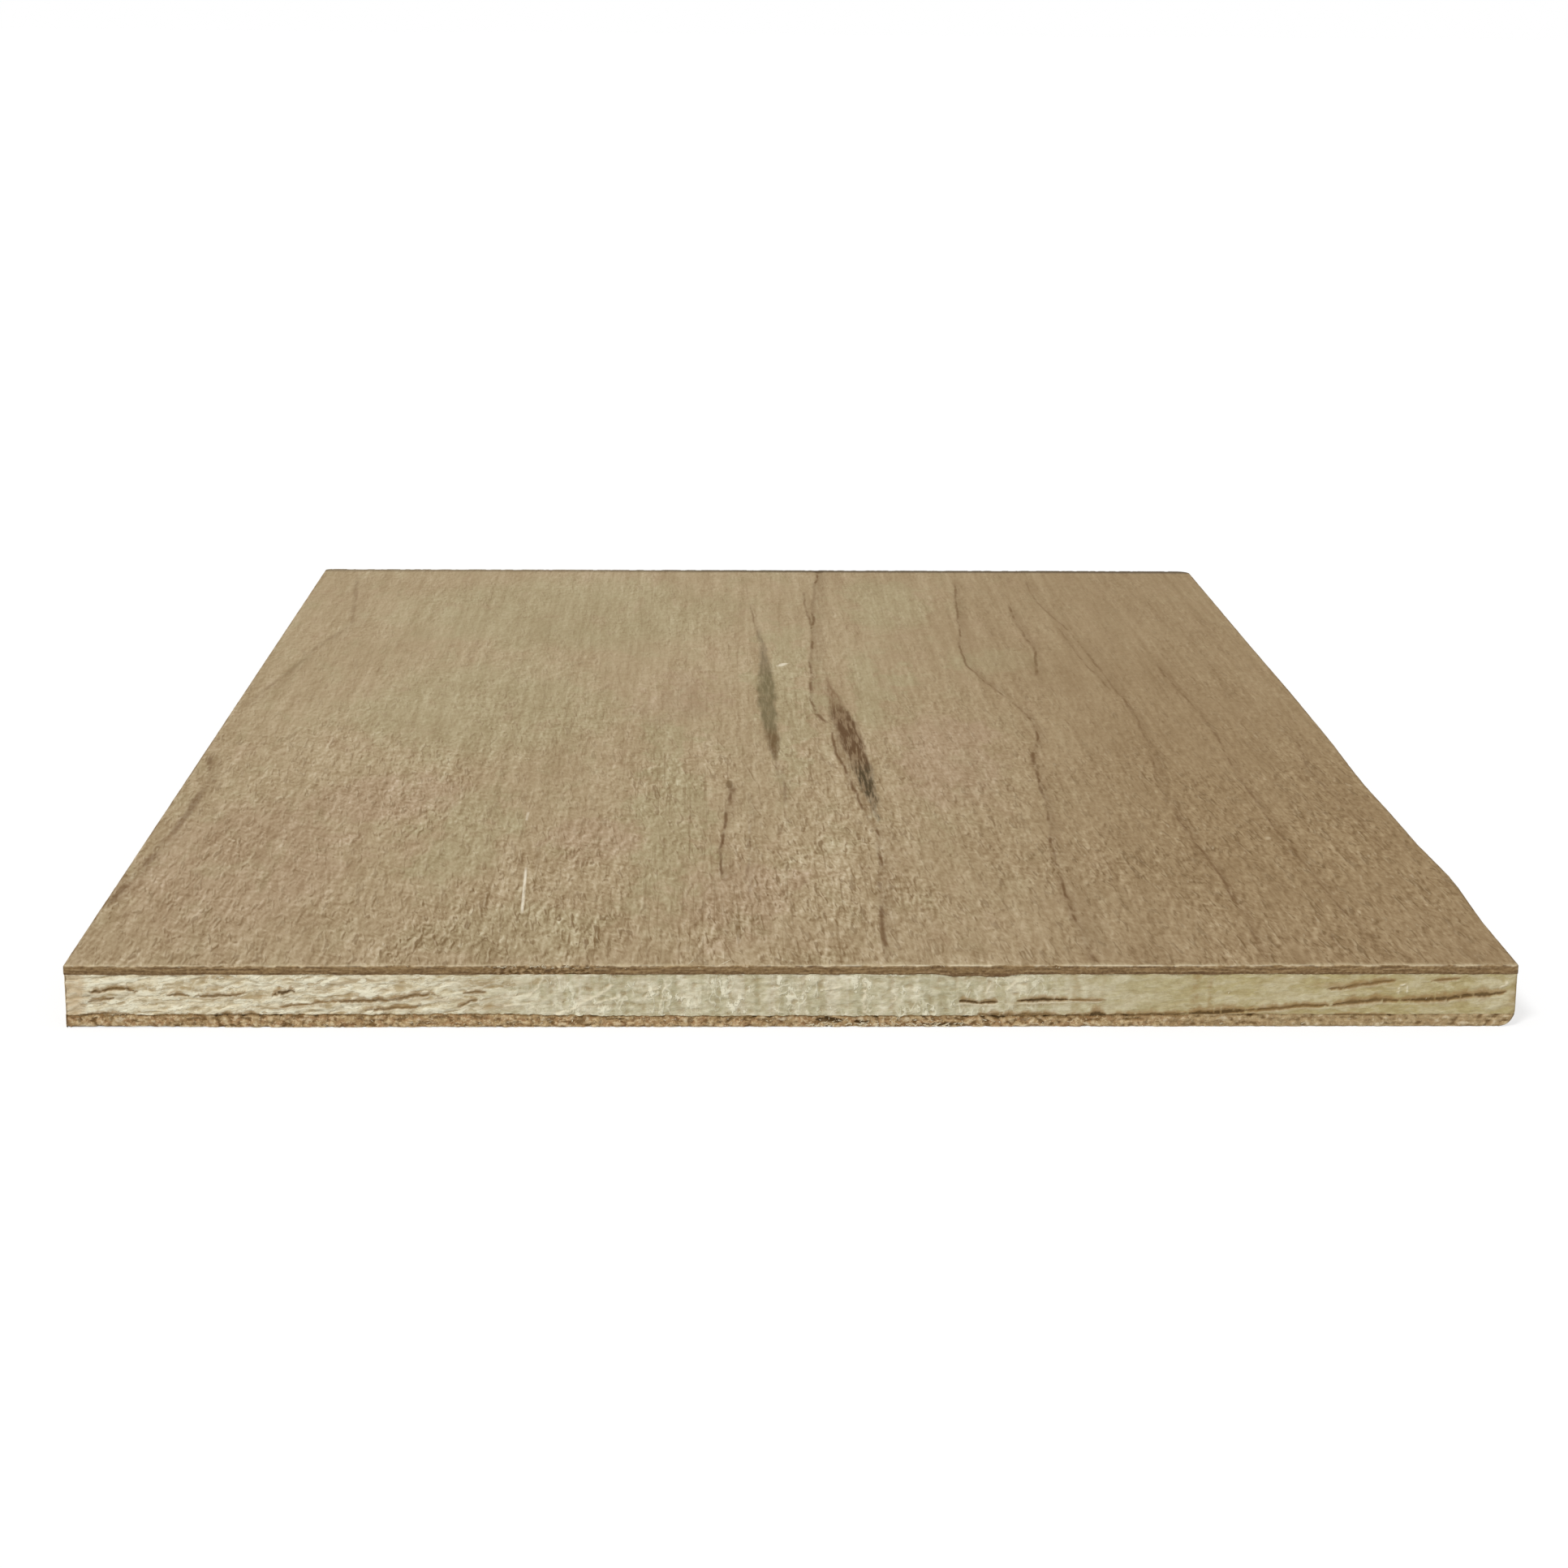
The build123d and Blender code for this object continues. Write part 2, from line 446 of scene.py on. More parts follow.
def crack_layers(edge, heights, cracks):
    """Depth of the cracks on the front edge, their darkness in brown and painted shade, a painted highlight
    on the edge just below each, and brown with painted shade round them.
    """
    depth, dark, lit_lip, brown = (np.zeros(heights.shape) for _ in range(4))
    for half_width, deep, route in cracks:
        crack, below, around = (
            line_share(edge.x, heights + lower * half_width, wider * half_width, route) * edge.on_front
            for lower, wider in ((0, 1.6), (2.6, 1.2), (-0.8, 4))
        )
        depth = np.maximum(depth, (0.04 + 0.035 * deep) * crack)
        dark = np.maximum(dark, crack * min(1, 0.50 + 0.5 * deep))
        lit_lip = np.maximum(lit_lip, below * (0.8 - 0.5 * rise(edge.x, 18, 28)))
        brown = np.maximum(brown, around)
    return depth, dark, lit_lip, brown


# The three plies


def core_hairs():
    """Curled fibres that stand off the sawn long grain, most of them near the middle of the front."""
    random = np.random.default_rng(81)
    hairs = []
    for _ in range(50):
        x = random.choice((random.normal(-4, 11), random.uniform(left + 2, right_cut(front) - 2)))
        z = random.uniform(core_bottom + 0.15, face_bottom - 0.1)
        if not left + 1 < x < right - 2:
            continue
        aside = random.choice((-1, 1))
        direction = (aside * random.uniform(0.5, 1), -random.uniform(0.15, 0.4), random.uniform(-0.5, 0.9))
        bend = (-aside * random.uniform(0, 0.9), 0.1, random.uniform(-0.8, 0.8))
        length, thickness = random.uniform(0.2, 0.4), random.uniform(0.07, 0.11)
        hairs.append(hair((x, front + root_depth, z), direction, bend, length, thickness))
    return hairs


def make_core(material):
    edge = Edge(0.10, 0.5)
    heights = ply_heights(edge, back_glue_line(edge), face_glue_line(edge), 47)
    u = edge.along
    v = heights - grain_climb * edge.x
    left_part = 1 - rise(edge.x, -26, -14)
    middle = rise(edge.x, -24, -14) * (1 - rise(edge.x, 9, 24))
    # Long grain on the front and far edges, torn up in flakes by the saw
    bent = v + 0.22 * layered(u / 1.5, v / 0.8, 12, 2)
    flakes = layered(u / 1.9, bent / 0.42, 11)
    lumps = layered(u / 0.62, heights / 0.46, 16)
    saw_bands = noise(u / 0.9, 0.5, 17) + 0.5 * noise(u / 0.35, 0.5, 18)
    long_grain = -flakes * (0.02 + 0.05 * left_part) - lumps * (0.012 + 0.012 * left_part + 0.03 * middle)
    long_grain = long_grain + 0.016 * saw_bands * (0.3 + middle)
    # End grain on the left and right edges, with the arcs that the saw blade left
    pores = layered(u / 0.35, heights / 0.16, 21, 2)
    arcs = np.sin((edge.y + 0.35 * (heights - 2) ** 2) / 0.55 + 1.5 * noise(u / 3, 0.5, 22))
    end_grain = 0.02 * (1 + pores) + 0.010 * arcs
    crack_depth, dark, lit_lip, brown = crack_layers(edge, heights, front_cracks + glue_line_gaps)
    wisps = np.zeros(heights.shape)
    broken = rise(noise(u / 0.2, heights / 0.2, 27), -0.7, 0.1)
    for half_width, route in pale_wisps:
        share = wisp_share(edge.x + 0.12 * lumps, heights + 0.08 * flakes, half_width, route)
        wisps = np.maximum(wisps, share * edge.on_front * broken)
    for x, z, half_width, half_height, strength in smudges:
        across = (edge.x + 0.5 * flakes - x) / half_width
        upward = (heights + 0.06 * lumps - z) / half_height
        brown = np.maximum(brown, strength * np.exp(-(across**2 + upward**2)) * edge.on_front)
    relief = np.where(edge.is_long_side, end_grain, long_grain)
    depth = relief + crack_depth - 0.06 * wisps - 0.04 * lit_lip + 0.06
    # The pale layer holds the torn wisps and a painted highlight under each crack; the stain layer holds the
    # smudges and the brown with painted shade round the cracks
    layers = {
        "proud": proudness(relief, 0.04),
        "crack": dark,
        "pale_fibre_and_highlight": np.clip(1.15 * wisps + 0.8 * lit_lip, 0, 1),
        "stain": brown,
    }
    mesh = ply_mesh("pale_core", edge, heights, depth, None, (9.0, 9.0), layers, core_hairs())
    piece("pale_core", mesh, material, "core_ply")


def back_hairs():
    """Splinters and fuzz along the bottom of the front edge, palest where the saw tore most."""
    random = np.random.default_rng(82)
    hairs = []
    for _ in range(220):
        places = (random.uniform(0.5, 10.5), random.uniform(left + 0.5, 20), random.uniform(-48, 46))
        x = random.choice(places)
        z = random.uniform(0.06, 0.6)
        direction = (random.uniform(-1, 1), -random.uniform(0.3, 0.9), random.uniform(-0.15, 0.5))
        bend = (random.uniform(-0.6, 0.6), 0.2, random.uniform(-0.1, 0.3))
        length, thickness = random.uniform(0.15, 0.42), random.uniform(0.05, 0.10)
        hairs.append(hair((x, front + splinter_depth, z), direction, bend, length, thickness))
    for _ in range(60):
        root = (random.uniform(0.5, 11.5), front + root_depth, random.uniform(0.08, 0.24))
        direction = (random.uniform(-1, 1), -random.uniform(0.2, 0.5), random.uniform(-0.1, 0.25))
        bend = (random.uniform(-0.4, 0.4), 0.2, 0.1)
        length, thickness = random.uniform(0.2, 0.5), random.uniform(0.10, 0.16)
        hairs.append(hair(root, direction, bend, length, thickness))
    return hairs


def make_back(material):
    edge = Edge(0.08, 0.2)
    u = edge.along
    smooth_part = rise(edge.x, 17, 27) * edge.on_front
    rough = 1 - 0.40 * smooth_part
    ragged = np.maximum(layered(u / 0.5, 0.5, 51), -0.2) + 0.2
    left_rise = 0.13 * (1 - rise(edge.x, left, -37)) * edge.on_front
    low = back_bottom + 0.05 * ragged * rough + left_rise
    heights = ply_heights(edge, low, back_glue_line(edge), 15)
    above_bottom = heights - low
    # Torn end grain on the front and far edges: lumps of fibre with pits between them
    lumps = layered(u / 0.62 + 0.5 * heights, heights / 0.42, 52, 4)
    pits = rise(-lumps, 0.10, 0.80) * rise(noise(u / 1.7, heights / 1.2, 55), -0.5, 0.3)
    swells = noise(u / 1.1, heights / 0.8, 56)
    torn = 0.05 + (0.09 * pits - 0.06 * np.clip(lumps, -0.2, 1) + 0.03 * swells) * rough
    torn = torn + 0.02 * layered(u / 2.6, heights / 0.16, 59) * smooth_part
    # Long grain on the left and right edges
    combed = 0.02 * (1 + layered(u / 2.0, heights / 0.12, 57, 2))
    crack_depth, dark, _, _ = crack_layers(edge, heights, glue_line_gaps + back_gaps)
    # A dark line below the glue, thick in two stretches and all but gone at the right
    dark_stretch = rise(edge.x, 11, 14) * (1 - rise(edge.x, 26, 29)) + 0.8 * (1 - rise(edge.x, -30, -22))
    width = 0.06 + 0.10 * rise(layered(u / 1.1, 0.5, 36), -0.4, 0.6) + 0.06 * dark_stretch
    under_glue = back_glue_line(edge) - heights
    glue_shade = (1 - rise(under_glue, 0.4 * width, 1.6 * width)) * np.where(edge.is_long_side, 0.2, 0.75)
    faded = 0.6 + 0.4 * rise(layered(u / 2.5, 0.5, 37), -0.2, 0.3)
    glue_shade = glue_shade * (1 - rise(edge.x, 26, 30) * faded)
    bottom_wear = 0.05 * np.clip(1 - above_bottom / 0.12, 0, 1) ** 2
    relief = np.where(edge.is_long_side, combed, torn)
    depth = relief + (crack_depth + 0.05 * glue_shade) + bottom_wear + 0.02
    fringe = np.clip(1 - above_bottom / 0.14, 0, 1) * rise(layered(u / 0.5, 0.5, 53), -0.3, 0.5)
    # A painted highlight on the raised lumps and pale fuzz along the bottom, and painted shade in the pits
    # between the lumps
    pale = np.clip(rise(lumps, 0.45, 0.9) * 0.5 + 0.6 * fringe * rough, 0, 1)
    painted_pit_shade = np.where(edge.is_long_side, 0, 0.65 * pits * rough)
    layers = {
        "proud": proudness(relief, 0.05),
        "crack": np.clip(np.maximum(dark, glue_shade) + painted_pit_shade, 0, 1),
        "pale_fibre_and_highlight": np.where(edge.is_long_side, 0, pale),
        "stain": 0.5 + 0.5 * np.tanh(2.5 * layered(u / 0.9, heights / 0.5, 58)),
    }
    mesh = ply_mesh("brown_back", edge, heights, depth, None, (1.6, 9.0), layers, back_hairs())
    piece("brown_back", mesh, material, "back_veneer")


def face_level(x, y):
    """The height of the sanded face, which is never quite flat."""
    return face_top + 0.02 + 0.012 * layered(x / 6, y / 17, 61)


def face_hairs():
    """Fibres that the saw left along the top of the front edge."""
    random = np.random.default_rng(83)
    hairs = []
    for _ in range(110):
        x = random.choice((random.uniform(-22, -14), random.uniform(-12, 30), random.uniform(-50, 49)))
        z = face_top - random.uniform(0.06, 0.2)
        direction = (random.uniform(-1, 1), -random.uniform(0.1, 0.5), random.uniform(0.05, 0.3))
        bend = (random.uniform(-0.5, 0.5), 0.3, -0.1)
        length, thickness = random.uniform(0.15, 0.5), random.uniform(0.03, 0.07)
        hairs.append(hair((x, front + root_depth, z), direction, bend, length, thickness))
    # Two longer hairs that lie back on the face just left of the middle
    for x, direction, bend in ((-7.7, (0.25, 0.95, 0.10), 0.15), (-5.5, (0.55, 0.80, 0.10), 0.10)):
        hairs.append(hair((x, front + 0.1, face_top - 0.04), direction, (bend, 0, 0), 1.3, 0.09))
    for points, _ in hairs:
        points[:, 2] = np.minimum(points[:, 2], face_top + fibre_reach)
    return hairs


def make_face(material):
    edge = Edge(0.08, 0.2)
    u = edge.along
    # The saw has broken small chips out of the top arris, most of them left of the middle
    rough = rise(edge.x, -22.5, -20.5) * (1 - rise(edge.x, -14.8, -13.2)) * edge.on_front
    chips = rise(layered(u / 0.7, 0.5, 62, 4), 0.10, 0.6) * (0.4 + 0.6 * rough)
    chips = chips * np.where(edge.is_long_side, 0.15, 1)
    top = face_level(edge.x, edge.y) - 0.008 - 0.13 * chips
    heights = ply_heights(edge, face_glue_line(edge), top, 12)
    below_top = top - heights
    grains = layered(u / 0.22, heights / 0.16, 63, 2)
    end_grain = 0.022 * (1 + grains) + 0.03 * layered(u / 1.6, heights / 0.13, 69)
    end_grain = end_grain + 0.07 * rough * (1 + layered(u / 0.35, heights / 0.22, 64))
    long_grain = 0.014 * (1 + layered(u / 2.2, heights / 0.1, 66, 2))
    relief = np.where(edge.is_long_side, long_grain, end_grain)
    at_arris = np.clip(1 - below_top / 0.10, 0, 1)
    depth = relief + 0.05 * at_arris**1.5 * (1 + 1.5 * chips) + 0.01
    # A pale line of fibres along the arris, brightest just right of the middle
    bright = 0.30 + 0.45 * rise(edge.x, -2, 4) * (1 - 0.7 * rise(edge.x, 18, 34))
    bright = bright * rise(layered(u / 1.5, 0.5, 67), -0.5, 0.3)
    pale_line = np.clip(1 - below_top / 0.08, 0, 1) ** 0.7 * bright * (1 - 0.5 * rough)
    # Side edges darker along the top arris, and painted shade in the pits of the rough stretch
    dark_arris_rim = 0.8 * at_arris * rise(layered(u / 3.0, 0.5, 70), -0.6, 0.3)
    painted_pit_shade = rough * rise(grains, 0.1, 0.6) * rise(below_top, 0.05, 0.15)
    layers = {
        "proud": proudness(relief, 0.03),
        "crack": np.where(edge.is_long_side, dark_arris_rim, painted_pit_shade),
        "pale_fibre_and_highlight": pale_line * np.where(edge.on_front, 1, 0.4),
        "stain": 0.5 + 0.5 * np.tanh(2 * layered(u / 1.8, heights / 0.3, 68)),
    }
    mesh = ply_mesh("cherry_face", edge, heights, depth, face_level, (9.0, 1.1), layers, face_hairs())
    piece("cherry_face", mesh, material, "face_veneer")


# Materials


def paint(colour):
    """A colour as a screen shows it, 0 to 255, turned into the shader's own scale."""
    values = [value / 255 for value in colour]
    return [v / 12.92 if v <= 0.04045 else ((v + 0.055) / 1.055) ** 2.4 for v in values]


class Nodes:
    """The emptied node tree of a material or the world."""

    def __init__(self, owner):
        owner.use_nodes = True
        self.tree = owner.node_tree
        self.tree.nodes.clear()

    def feed(self, socket, value):
        if isinstance(value, bpy.types.NodeSocket):
            self.tree.links.new(value, socket)
        else:
            socket.default_value = value

    def add(self, kind, settings=None, numbered=(), **named):
        """A new node's outputs. Its inputs are fed by number and by name."""
        node = self.tree.nodes.new("ShaderNode" + kind)
        for key, value in (settings or {}).items():
            setattr(node, key, value)
        for number, value in enumerate(numbered):
            self.feed(node.inputs[number], value)
        for key, value in named.items():
            self.feed(node.inputs[key.replace("_", " ")], value)
        return node.outputs

    def calc(self, operation, *values):
        return self.add("Math", {"operation": operation}, values)[0]


class Shades(Nodes):
    """A wood's nodes, with one short call for each kind of node or usual group of nodes."""

    # The width across the board that a route's curve takes in
    route_span = 110.0

    def __init__(self, name):
        self.material = bpy.data.materials.new(name)
        super().__init__(self.material)
        spots = self.add("TexCoord")
        self.place = self.vector("MULTIPLY", spots["Object"], (METRE,) * 3)
        self.x, self.y, self.z = self.add("SeparateXYZ", Vector=self.place)
        facing = self.vector("ABSOLUTE", spots["Normal"])
        self.faces_x, _, self.faces_z = self.add("SeparateXYZ", Vector=facing)

    def vector(self, operation, *values):
        return self.add("VectorMath", {"operation": operation}, values)[0]

    def times(self, *values):
        product = values[0]
        for value in values[1:]:
            product = self.calc("MULTIPLY", product, value)
        return product

    def apart(self, first, second):
        return self.calc("ABSOLUTE", self.calc("SUBTRACT", first, second))

    def climb(self, value, low, high, start=0.0, end=1.0):
        """A smooth change from start to end as value goes from low to high."""
        settings = {"interpolation_type": "SMOOTHSTEP", "clamp": True}
        return self.add("MapRange", settings, (value, low, high, start, end))[0]

    def grain(self, sizes, detail=2.0, roughness=0.5, place=None, distortion=0.0):
        """Noise from 0 to 1 whose blots have about these sizes along X, Y and Z."""
        scaled = self.vector("MULTIPLY", place or self.place, [1 / size for size in sizes])
        settings = {"Scale": 1.0, "Detail": detail, "Roughness": roughness, "Distortion": distortion}
        return self.add("TexNoise", None, (), Vector=scaled, **settings)[0]

    def drift(self, amount, *grain):
        """The same noise about 0, as strong as the amount."""
        return self.times(self.calc("SUBTRACT", self.grain(*grain), 0.5), amount)

    def turned(self, degrees):
        """The place, turned about Z."""
        settings = {"rotation_type": "Z_AXIS"}
        return self.add("VectorRotate", settings, (), Vector=self.place, Angle=radians(degrees))[0]

    def blend(self, under, over, *shares):
        """One colour over another, by the product of the shares. A tuple is a colour on a screen."""
        node = self.tree.nodes.new("ShaderNodeMix")
        node.data_type = "RGBA"
        self.feed(node.inputs[0], self.times(*shares))
        for number, colour in ((6, under), (7, over)):
            self.feed(node.inputs[number], paint(colour) + [1.0] if isinstance(colour, tuple) else colour)
        return node.outputs[2]

    def toned(self, colour, factor):
        """The colour lighter or darker by a factor, as a screen shows it. Wood darkens most in blue."""
        factor = self.calc("MAXIMUM", factor, 0.05)
        channels = [self.calc("POWER", factor, 2.2 * share) for share in (0.80, 1.0, 1.33)]
        plain = paint(colour) if isinstance(colour, tuple) else colour
        return self.vector("MULTIPLY", plain, self.add("CombineXYZ", None, channels)[0])

    def swing(self, noise, amount):
        """Noise about 0.5 turned into a tone factor about 1."""
        return self.calc("MULTIPLY_ADD", self.calc("SUBTRACT", noise, 0.5), amount, 1.0)

    def mottled(self, colour, noise, amount):
        return self.toned(colour, self.swing(noise, amount))

    def layer(self, key):
        return self.add("Attribute", {"attribute_name": key})["Fac"]

    def side_light(self, sizes, place, step, distortion):
        """A noise, and its fall over a small step, like light on one side of each blot."""
        here = self.grain(sizes, 1.0, 0.5, place, distortion)
        beside = self.grain(sizes, 1.0, 0.5, self.vector("ADD", place, step), distortion)
        return here, self.calc("SUBTRACT", here, beside)

    def route(self, points):
        """A line's x at each y, from a few points of its route."""
        near, away = min(p[1] for p in points), max(p[1] for p in points)
        node = self.tree.nodes.new("ShaderNodeFloatCurve")
        curve = node.mapping.curves[0]
        places = sorted(((p[1] - near) / (away - near), 0.5 + p[0] / self.route_span) for p in points)
        curve.points[0].location = places[0]
        curve.points[-1].location = places[-1]
        for place in places[1:-1]:
            curve.points.new(*place)
        for point in curve.points:
            point.handle_type = "AUTO"
        node.mapping.extend = "HORIZONTAL"
        node.mapping.update()
        self.feed(node.inputs["Value"], self.add("MapRange", None, (self.y, near, away, 0, 1))[0])
        return self.times(self.calc("SUBTRACT", node.outputs[0], 0.5), self.route_span)

    def surface(self, colour, roughness, height, distance, strength):
        bump = self.add("Bump", None, (), Height=height, Distance=distance / METRE, Strength=strength)
        named = {"Base Color": colour, "Roughness": roughness, "Specular IOR Level": 0.25, "Normal": bump[0]}
        shader = self.add("BsdfPrincipled", None, (), **named)
        self.add("OutputMaterial", None, (shader[0],))
        return self.material


# Growth lines on the cherry face: half width, darkness, soft shoulder, and the route as x and y
growth_lines = [
    (0.16, 0.62, 1.3, [
        (6.6, 76.2), (5.9, 62), (5.1, 45), (4.4, 29), (3.9, 14), (3.8, 6), (4.2, 1), (5.1, -3),
    ]),
    (0.14, 0.58, 1.0, [(5.1, -3), (5.3, -14), (5.8, -20), (6.3, -29), (6.9, -36)]),
    (0.17, 0.80, 0.9, [(6.7, -34), (7.2, -40), (7.3, -45), (6.9, -54), (6.4, -68), (6.2, -76.2)]),
    (0.13, 0.35, 0.8, [(4.8, 63), (4.7, 53), (4.9, 42)]),
    (0.13, 0.42, 0.9, [(22.3, 70), (21.5, 57), (20.5, 40), (19.9, 32), (20.0, 23), (21.3, 14.5), (22.7, 7)]),
    (0.13, 0.55, 0.7, [
        (22.7, 7), (23.7, 1), (24.0, -3), (23.5, -10.5), (22.7, -15), (22.3, -23), (21.6, -37), (20.9, -50),
        (20.5, -62), (20.9, -76),
    ]),
    (0.30, 0.25, 2.2, [(21.2, -44), (20.5, -60), (20.8, -76.2)]),
    (0.15, 0.42, 0.9, [(27.1, 55), (27.1, 45), (27.3, 37), (27.5, 31), (26.3, 18)]),
    (0.12, 0.27, 1.0, [(30.6, 70), (30.8, 53), (32.0, 42), (32.8, 31), (33.3, 16), (33.8, 5), (33.6, -12)]),
    (0.12, 0.34, 0.8, [
        (33.6, -12), (32.6, -23), (32.5, -34), (32.5, -43), (33.1, -55), (33.0, -67), (32.7, -75),
    ]),
    (0.12, 0.26, 0.8, [(31.2, 43), (31.7, 31), (32.3, 20), (33.0, 12)]),
    (0.12, 0.31, 0.7, [(39.2, 24), (39.6, 13), (40.1, 3), (40.3, -4), (40.1, -12), (39.7, -25)]),
    (0.12, 0.31, 0.8, [(39.7, -25), (39.8, -37), (40.2, -50), (40.6, -61), (41.2, -70)]),
    (0.10, 0.25, 0.8, [(47.4, -8), (46.4, -21), (46.9, -32), (47.5, -45)]),
    (0.24, 0.22, 1.6, [
        (-46.8, 73), (-45.2, 55), (-44.4, 42), (-46.0, 34), (-47.1, 24), (-48.4, 15), (-50.0, 3),
    ]),
    (0.30, 0.35, 1.0, [
        (-50.4, -14), (-49.3, -20), (-48.7, -24), (-48.7, -31), (-49.1, -41), (-49.6, -53), (-50.4, -62),
    ]),
    (0.12, 0.50, 0.6, [(-4.2, -26.5), (-4.5, -33), (-5.0, -42), (-5.1, -56)]),
    (0.30, 0.45, 0.6, [(-4.0, -25.0), (-4.1, -27.0), (-4.2, -29.5)]),
    (0.12, 0.25, 0.9, [(-2.6, -30), (-3.0, -42), (-3.1, -60)]),
    (0.12, 0.30, 0.6, [(-0.4, -15), (-0.1, -21), (0.2, -25), (0.1, -33)]),
    (0.12, 0.30, 0.6, [(-1.5, 56), (-1.2, 44), (-0.7, 35)]),
]

# Two gum marks: left and right borders as x and y, from the far end to the near
grey_mark = (
    [(-1.0, 42), (-0.8, 31), (-1.1, 19), (-1.4, 7), (-1.2, -2), (-0.8, -10), (-0.4, -17)],
    [(-0.8, 42), (-0.1, 27), (0.3, 15), (0.2, 2), (0.2, -8), (-0.1, -17)],
)
dark_mark = (
    [(5.5, 19), (5.3, 10), (5.3, 2), (5.6, -6), (6.0, -13), (6.5, -20), (6.8, -27), (7.4, -33), (7.5, -38)],
    [(5.6, 19), (6.4, 8), (7.0, 2), (7.7, -5), (7.8, -11), (8.0, -18), (8.0, -24), (8.0, -31), (7.6, -38)],
)

# Pale scratches: x of both ends, y of both ends, half width, strength
scratches = [
    (-20.25, -19.85, -51.0, -64.0, 0.10, 0.85),
    (-21.0, -21.0, -34.5, -37.5, 0.10, 0.35),
    (0.9, 1.7, 22.4, 24.2, 0.35, 0.70),
]

# Dark spots on the face, at the head of a growth line and at a nick in the far arris
dark_spots = [(-4.4, -25.4, 0.34, 1.6), (6.8, 75.4, 0.65, 1.6)]

# Brown upright stains on the core's front edge: x, half width, strength
upright_stains = [(27.8, 0.30, 0.60), (28.8, 0.20, 0.60), (19.4, 0.30, 0.45), (21.3, 0.20, 0.30)]

# Patches of the cherry face: x, y, half width, half length
olive_patches = [
    (-27, 4, 13, 22), (-26, -42, 4, 16), (-20, -69, 7, 8), (-9.4, -25, 2.6, 48), (1.6, 10, 2.4, 44),
    (9.3, 12, 3.2, 18), (-21, 50, 20, 22), (23, 25, 3.4, 6), (13, 55, 6, 16),
]
pink_patches = [
    (-42, -50, 9, 22), (-9, 9, 3.2, 12), (-33, -30, 7, 8), (-3.5, -60, 4, 12), (15, -15, 5, 18),
    (-15, -42, 3, 8),
]
rough_patches = [(-20.0, -69.5, 7.0, 6.0), (-27.5, -64.0, 3.5, 3.5)]


def patches(shades, place, spots):
    """How much any of the patches covers each place."""
    x, y, _ = shades.add("SeparateXYZ", Vector=place)
    cover = 0.0
    for px, py, half_width, half_length in spots:
        dx = shades.times(shades.calc("SUBTRACT", x, px), 1 / half_width)
        dy = shades.times(shades.calc("SUBTRACT", y, py), 1 / half_length)
        distance = shades.calc("ADD", shades.times(dx, dx), shades.times(dy, dy))
        cover = shades.calc("MAXIMUM", cover, shades.climb(distance, 1.25, 0.35))
    return cover


def growth_line_shade(shades):
    """How dark the growth lines make each place: a thin line with a soft shoulder on one side."""
    calc, climb, grain, times, y = shades.calc, shades.climb, shades.grain, shades.times, shades.y
    x = calc("ADD", shades.x, shades.drift(0.8, (1.8, 6.0, 1.8), 2.0, 0.5))
    broken = climb(grain((1.6, 5.0, 1.6), 2.0, 0.6), 0.38, 0.56)
    broken = calc("MAXIMUM", broken, climb(y, -12.0, 8.0, 0.34, 0.48))
    uneven = climb(grain((3.0, 12.0, 3.0), 3.0, 0.6), 0.34, 0.60, 0.35, 1.0)
    shade = 0.0
    for half_width, darkness, shoulder, route in growth_lines:
        near, away = min(p[1] for p in route), max(p[1] for p in route)
        offset = calc("SUBTRACT", x, shades.route(route))
        core = times(climb(calc("ABSOLUTE", offset), 2.0 * half_width, 0.2 * half_width), broken)
        soft = times(climb(offset, 1.6 * shoulder, 0.0), climb(offset, -3 * half_width, 0.0), uneven, 0.36)
        fade = times(climb(y, near - 1.0, near + 2.5), climb(y, away + 1.0, away - 3.0))
        line = times(calc("MAXIMUM", core, soft), min(1.55 * darkness, 0.78), fade)
        shade = calc("MAXIMUM", shade, line)
    return shade


def between(shades, borders, softness, wander):
    """How far each place lies inside a mark with a left and a right border."""
    calc, climb, y = shades.calc, shades.climb, shades.y
    x = calc("ADD", shades.x, wander)
    near, away = borders[0][-1][1], borders[0][0][1]
    from_left = calc("SUBTRACT", x, shades.route(borders[0]))
    from_right = calc("SUBTRACT", shades.route(borders[1]), x)
    ends = shades.times(climb(y, near - 0.5, near + 1.5), climb(y, away + 1.0, away - 4.0))
    return shades.times(climb(calc("MINIMUM", from_left, from_right), -softness, softness), ends)


def fibre_tone(shades, width, length, strength):
    """Fine fibres along Y as a tone factor, with the light catching one side of each."""
    calc, times = shades.calc, shades.times
    fine_size, fine_step = (width, length, width), (0.4 * width, 0.0, 0.0)
    fine, edge_light = shades.side_light(fine_size, shades.turned(4.0), fine_step, 0.5)
    pebble_size, pebble_step = (0.9 * width, 0.55 * length, width), (0.3 * width, -0.25 * length, 0.0)
    _, pebble_light = shades.side_light(pebble_size, shades.turned(-7.0), pebble_step, 1.1)
    coarse_size = (2.0 * width, 1.5 * length, 2.0 * width)
    tone = calc("ADD", shades.swing(fine, 0.14 * strength), times(edge_light, 0.15 * strength))
    tone = calc("ADD", tone, shades.drift(0.30 * strength, coarse_size, 2.0, 0.6, shades.turned(-5.0), 0.4))
    return calc("ADD", tone, times(pebble_light, 0.30 * strength)), fine


